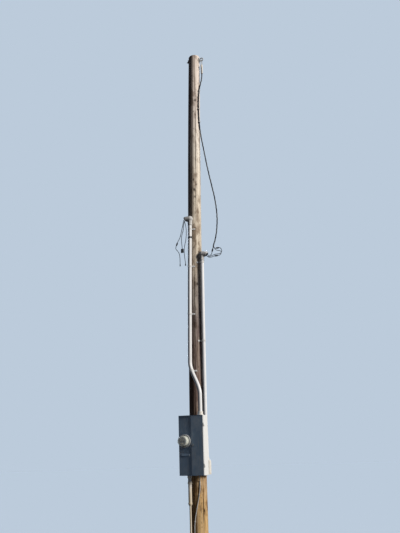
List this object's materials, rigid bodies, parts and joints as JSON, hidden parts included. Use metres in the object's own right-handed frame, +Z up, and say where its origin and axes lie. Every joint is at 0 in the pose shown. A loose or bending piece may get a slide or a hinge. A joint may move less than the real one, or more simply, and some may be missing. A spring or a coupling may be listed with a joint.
{
  "type": "utility pole with service panel",
  "caption": "Weathered timber utility pole with conduit risers, weatherheads, a hanging service loop and a meter panel whose breaker door opens.",
  "frame": {"origin": "centre of the pole's flat cut at ground level", "axes": "+Z up along the pole, -Y out of the panel's front, +X to the panel's right as seen from the front"},
  "size_m": [0.7012, 0.5218, 7.47],
  "materials": {
    "timber": "weathered, dry",
    "galvanised": "dull zinc",
    "conduit_metal": "dull",
    "cast_fitting": "cast, rough",
    "head_casting": "cast, weathered",
    "panel_enamel": "satin enamel",
    "inner_plate": "satin",
    "cable_jacket": "dull",
    "bare_strand": "stranded",
    "moulding": "moulded",
    "meter_moulding": "moulded",
    "dial_plate": "printed card",
    "clear_cover": "clear"
  },
  "bodies": {
    "frame": {"pole": "timber", "eye_bolt": "galvanised", "eye_bolt_nut": "galvanised", "clamp_bail": "galvanised", "wedge_clamp": "cast_fitting", "service_loop": "cable_jacket", "loop_clips": "galvanised", "riser_a": "conduit_metal", "riser_a_straps": "galvanised", "riser_a_band": "moulding", "riser_a_head": "head_casting", "riser_a_insert": "moulding", "riser_a_hub": "cast_fitting", "riser_b": "conduit_metal", "riser_b_straps": "galvanised", "riser_b_head": "head_casting", "riser_b_insert": "moulding", "conduit_body": "cast_fitting", "conduit_body_cover": "galvanised", "wire_a1": "cable_jacket", "wire_a2": "cable_jacket", "wire_a3": "bare_strand", "connectors_a": "moulding", "wire_b1": "cable_jacket", "wire_b2": "cable_jacket", "wire_b3": "bare_strand", "connectors_b": "moulding", "panel_box": "panel_enamel", "panel_rear": "panel_enamel", "panel_divider": "inner_plate", "panel_bolts": "galvanised", "meter_cover": "panel_enamel", "test_cover": "panel_enamel", "socket_block": "moulding", "meter_ring": "conduit_metal", "meter_base": "moulding", "meter_register": "meter_moulding", "meter_glass": "clear_cover", "dead_front": "inner_plate", "main_breaker": "moulding", "branch_breakers": "moulding", "hinge_barrels": "galvanised", "channels": "galvanised", "lag_bolts": "galvanised", "drain_conduit": "conduit_metal", "drain_hub": "cast_fitting", "drain_collar": "cast_fitting", "drain_coupling": "cast_fitting", "stub_conduit": "conduit_metal", "earth_wire": "galvanised", "earth_staples": "galvanised"},
    "door": {"breaker_door": "panel_enamel", "door_latch": "moulding"}
  },
  "joints": [
    {"name": "door_hinge", "type": "hinge", "parent": "frame", "child": "door", "pos_m": [0.2213, -0.29001, 1.49], "axis": [0, 0, 1], "range_deg": [0, 110]}
  ]
}
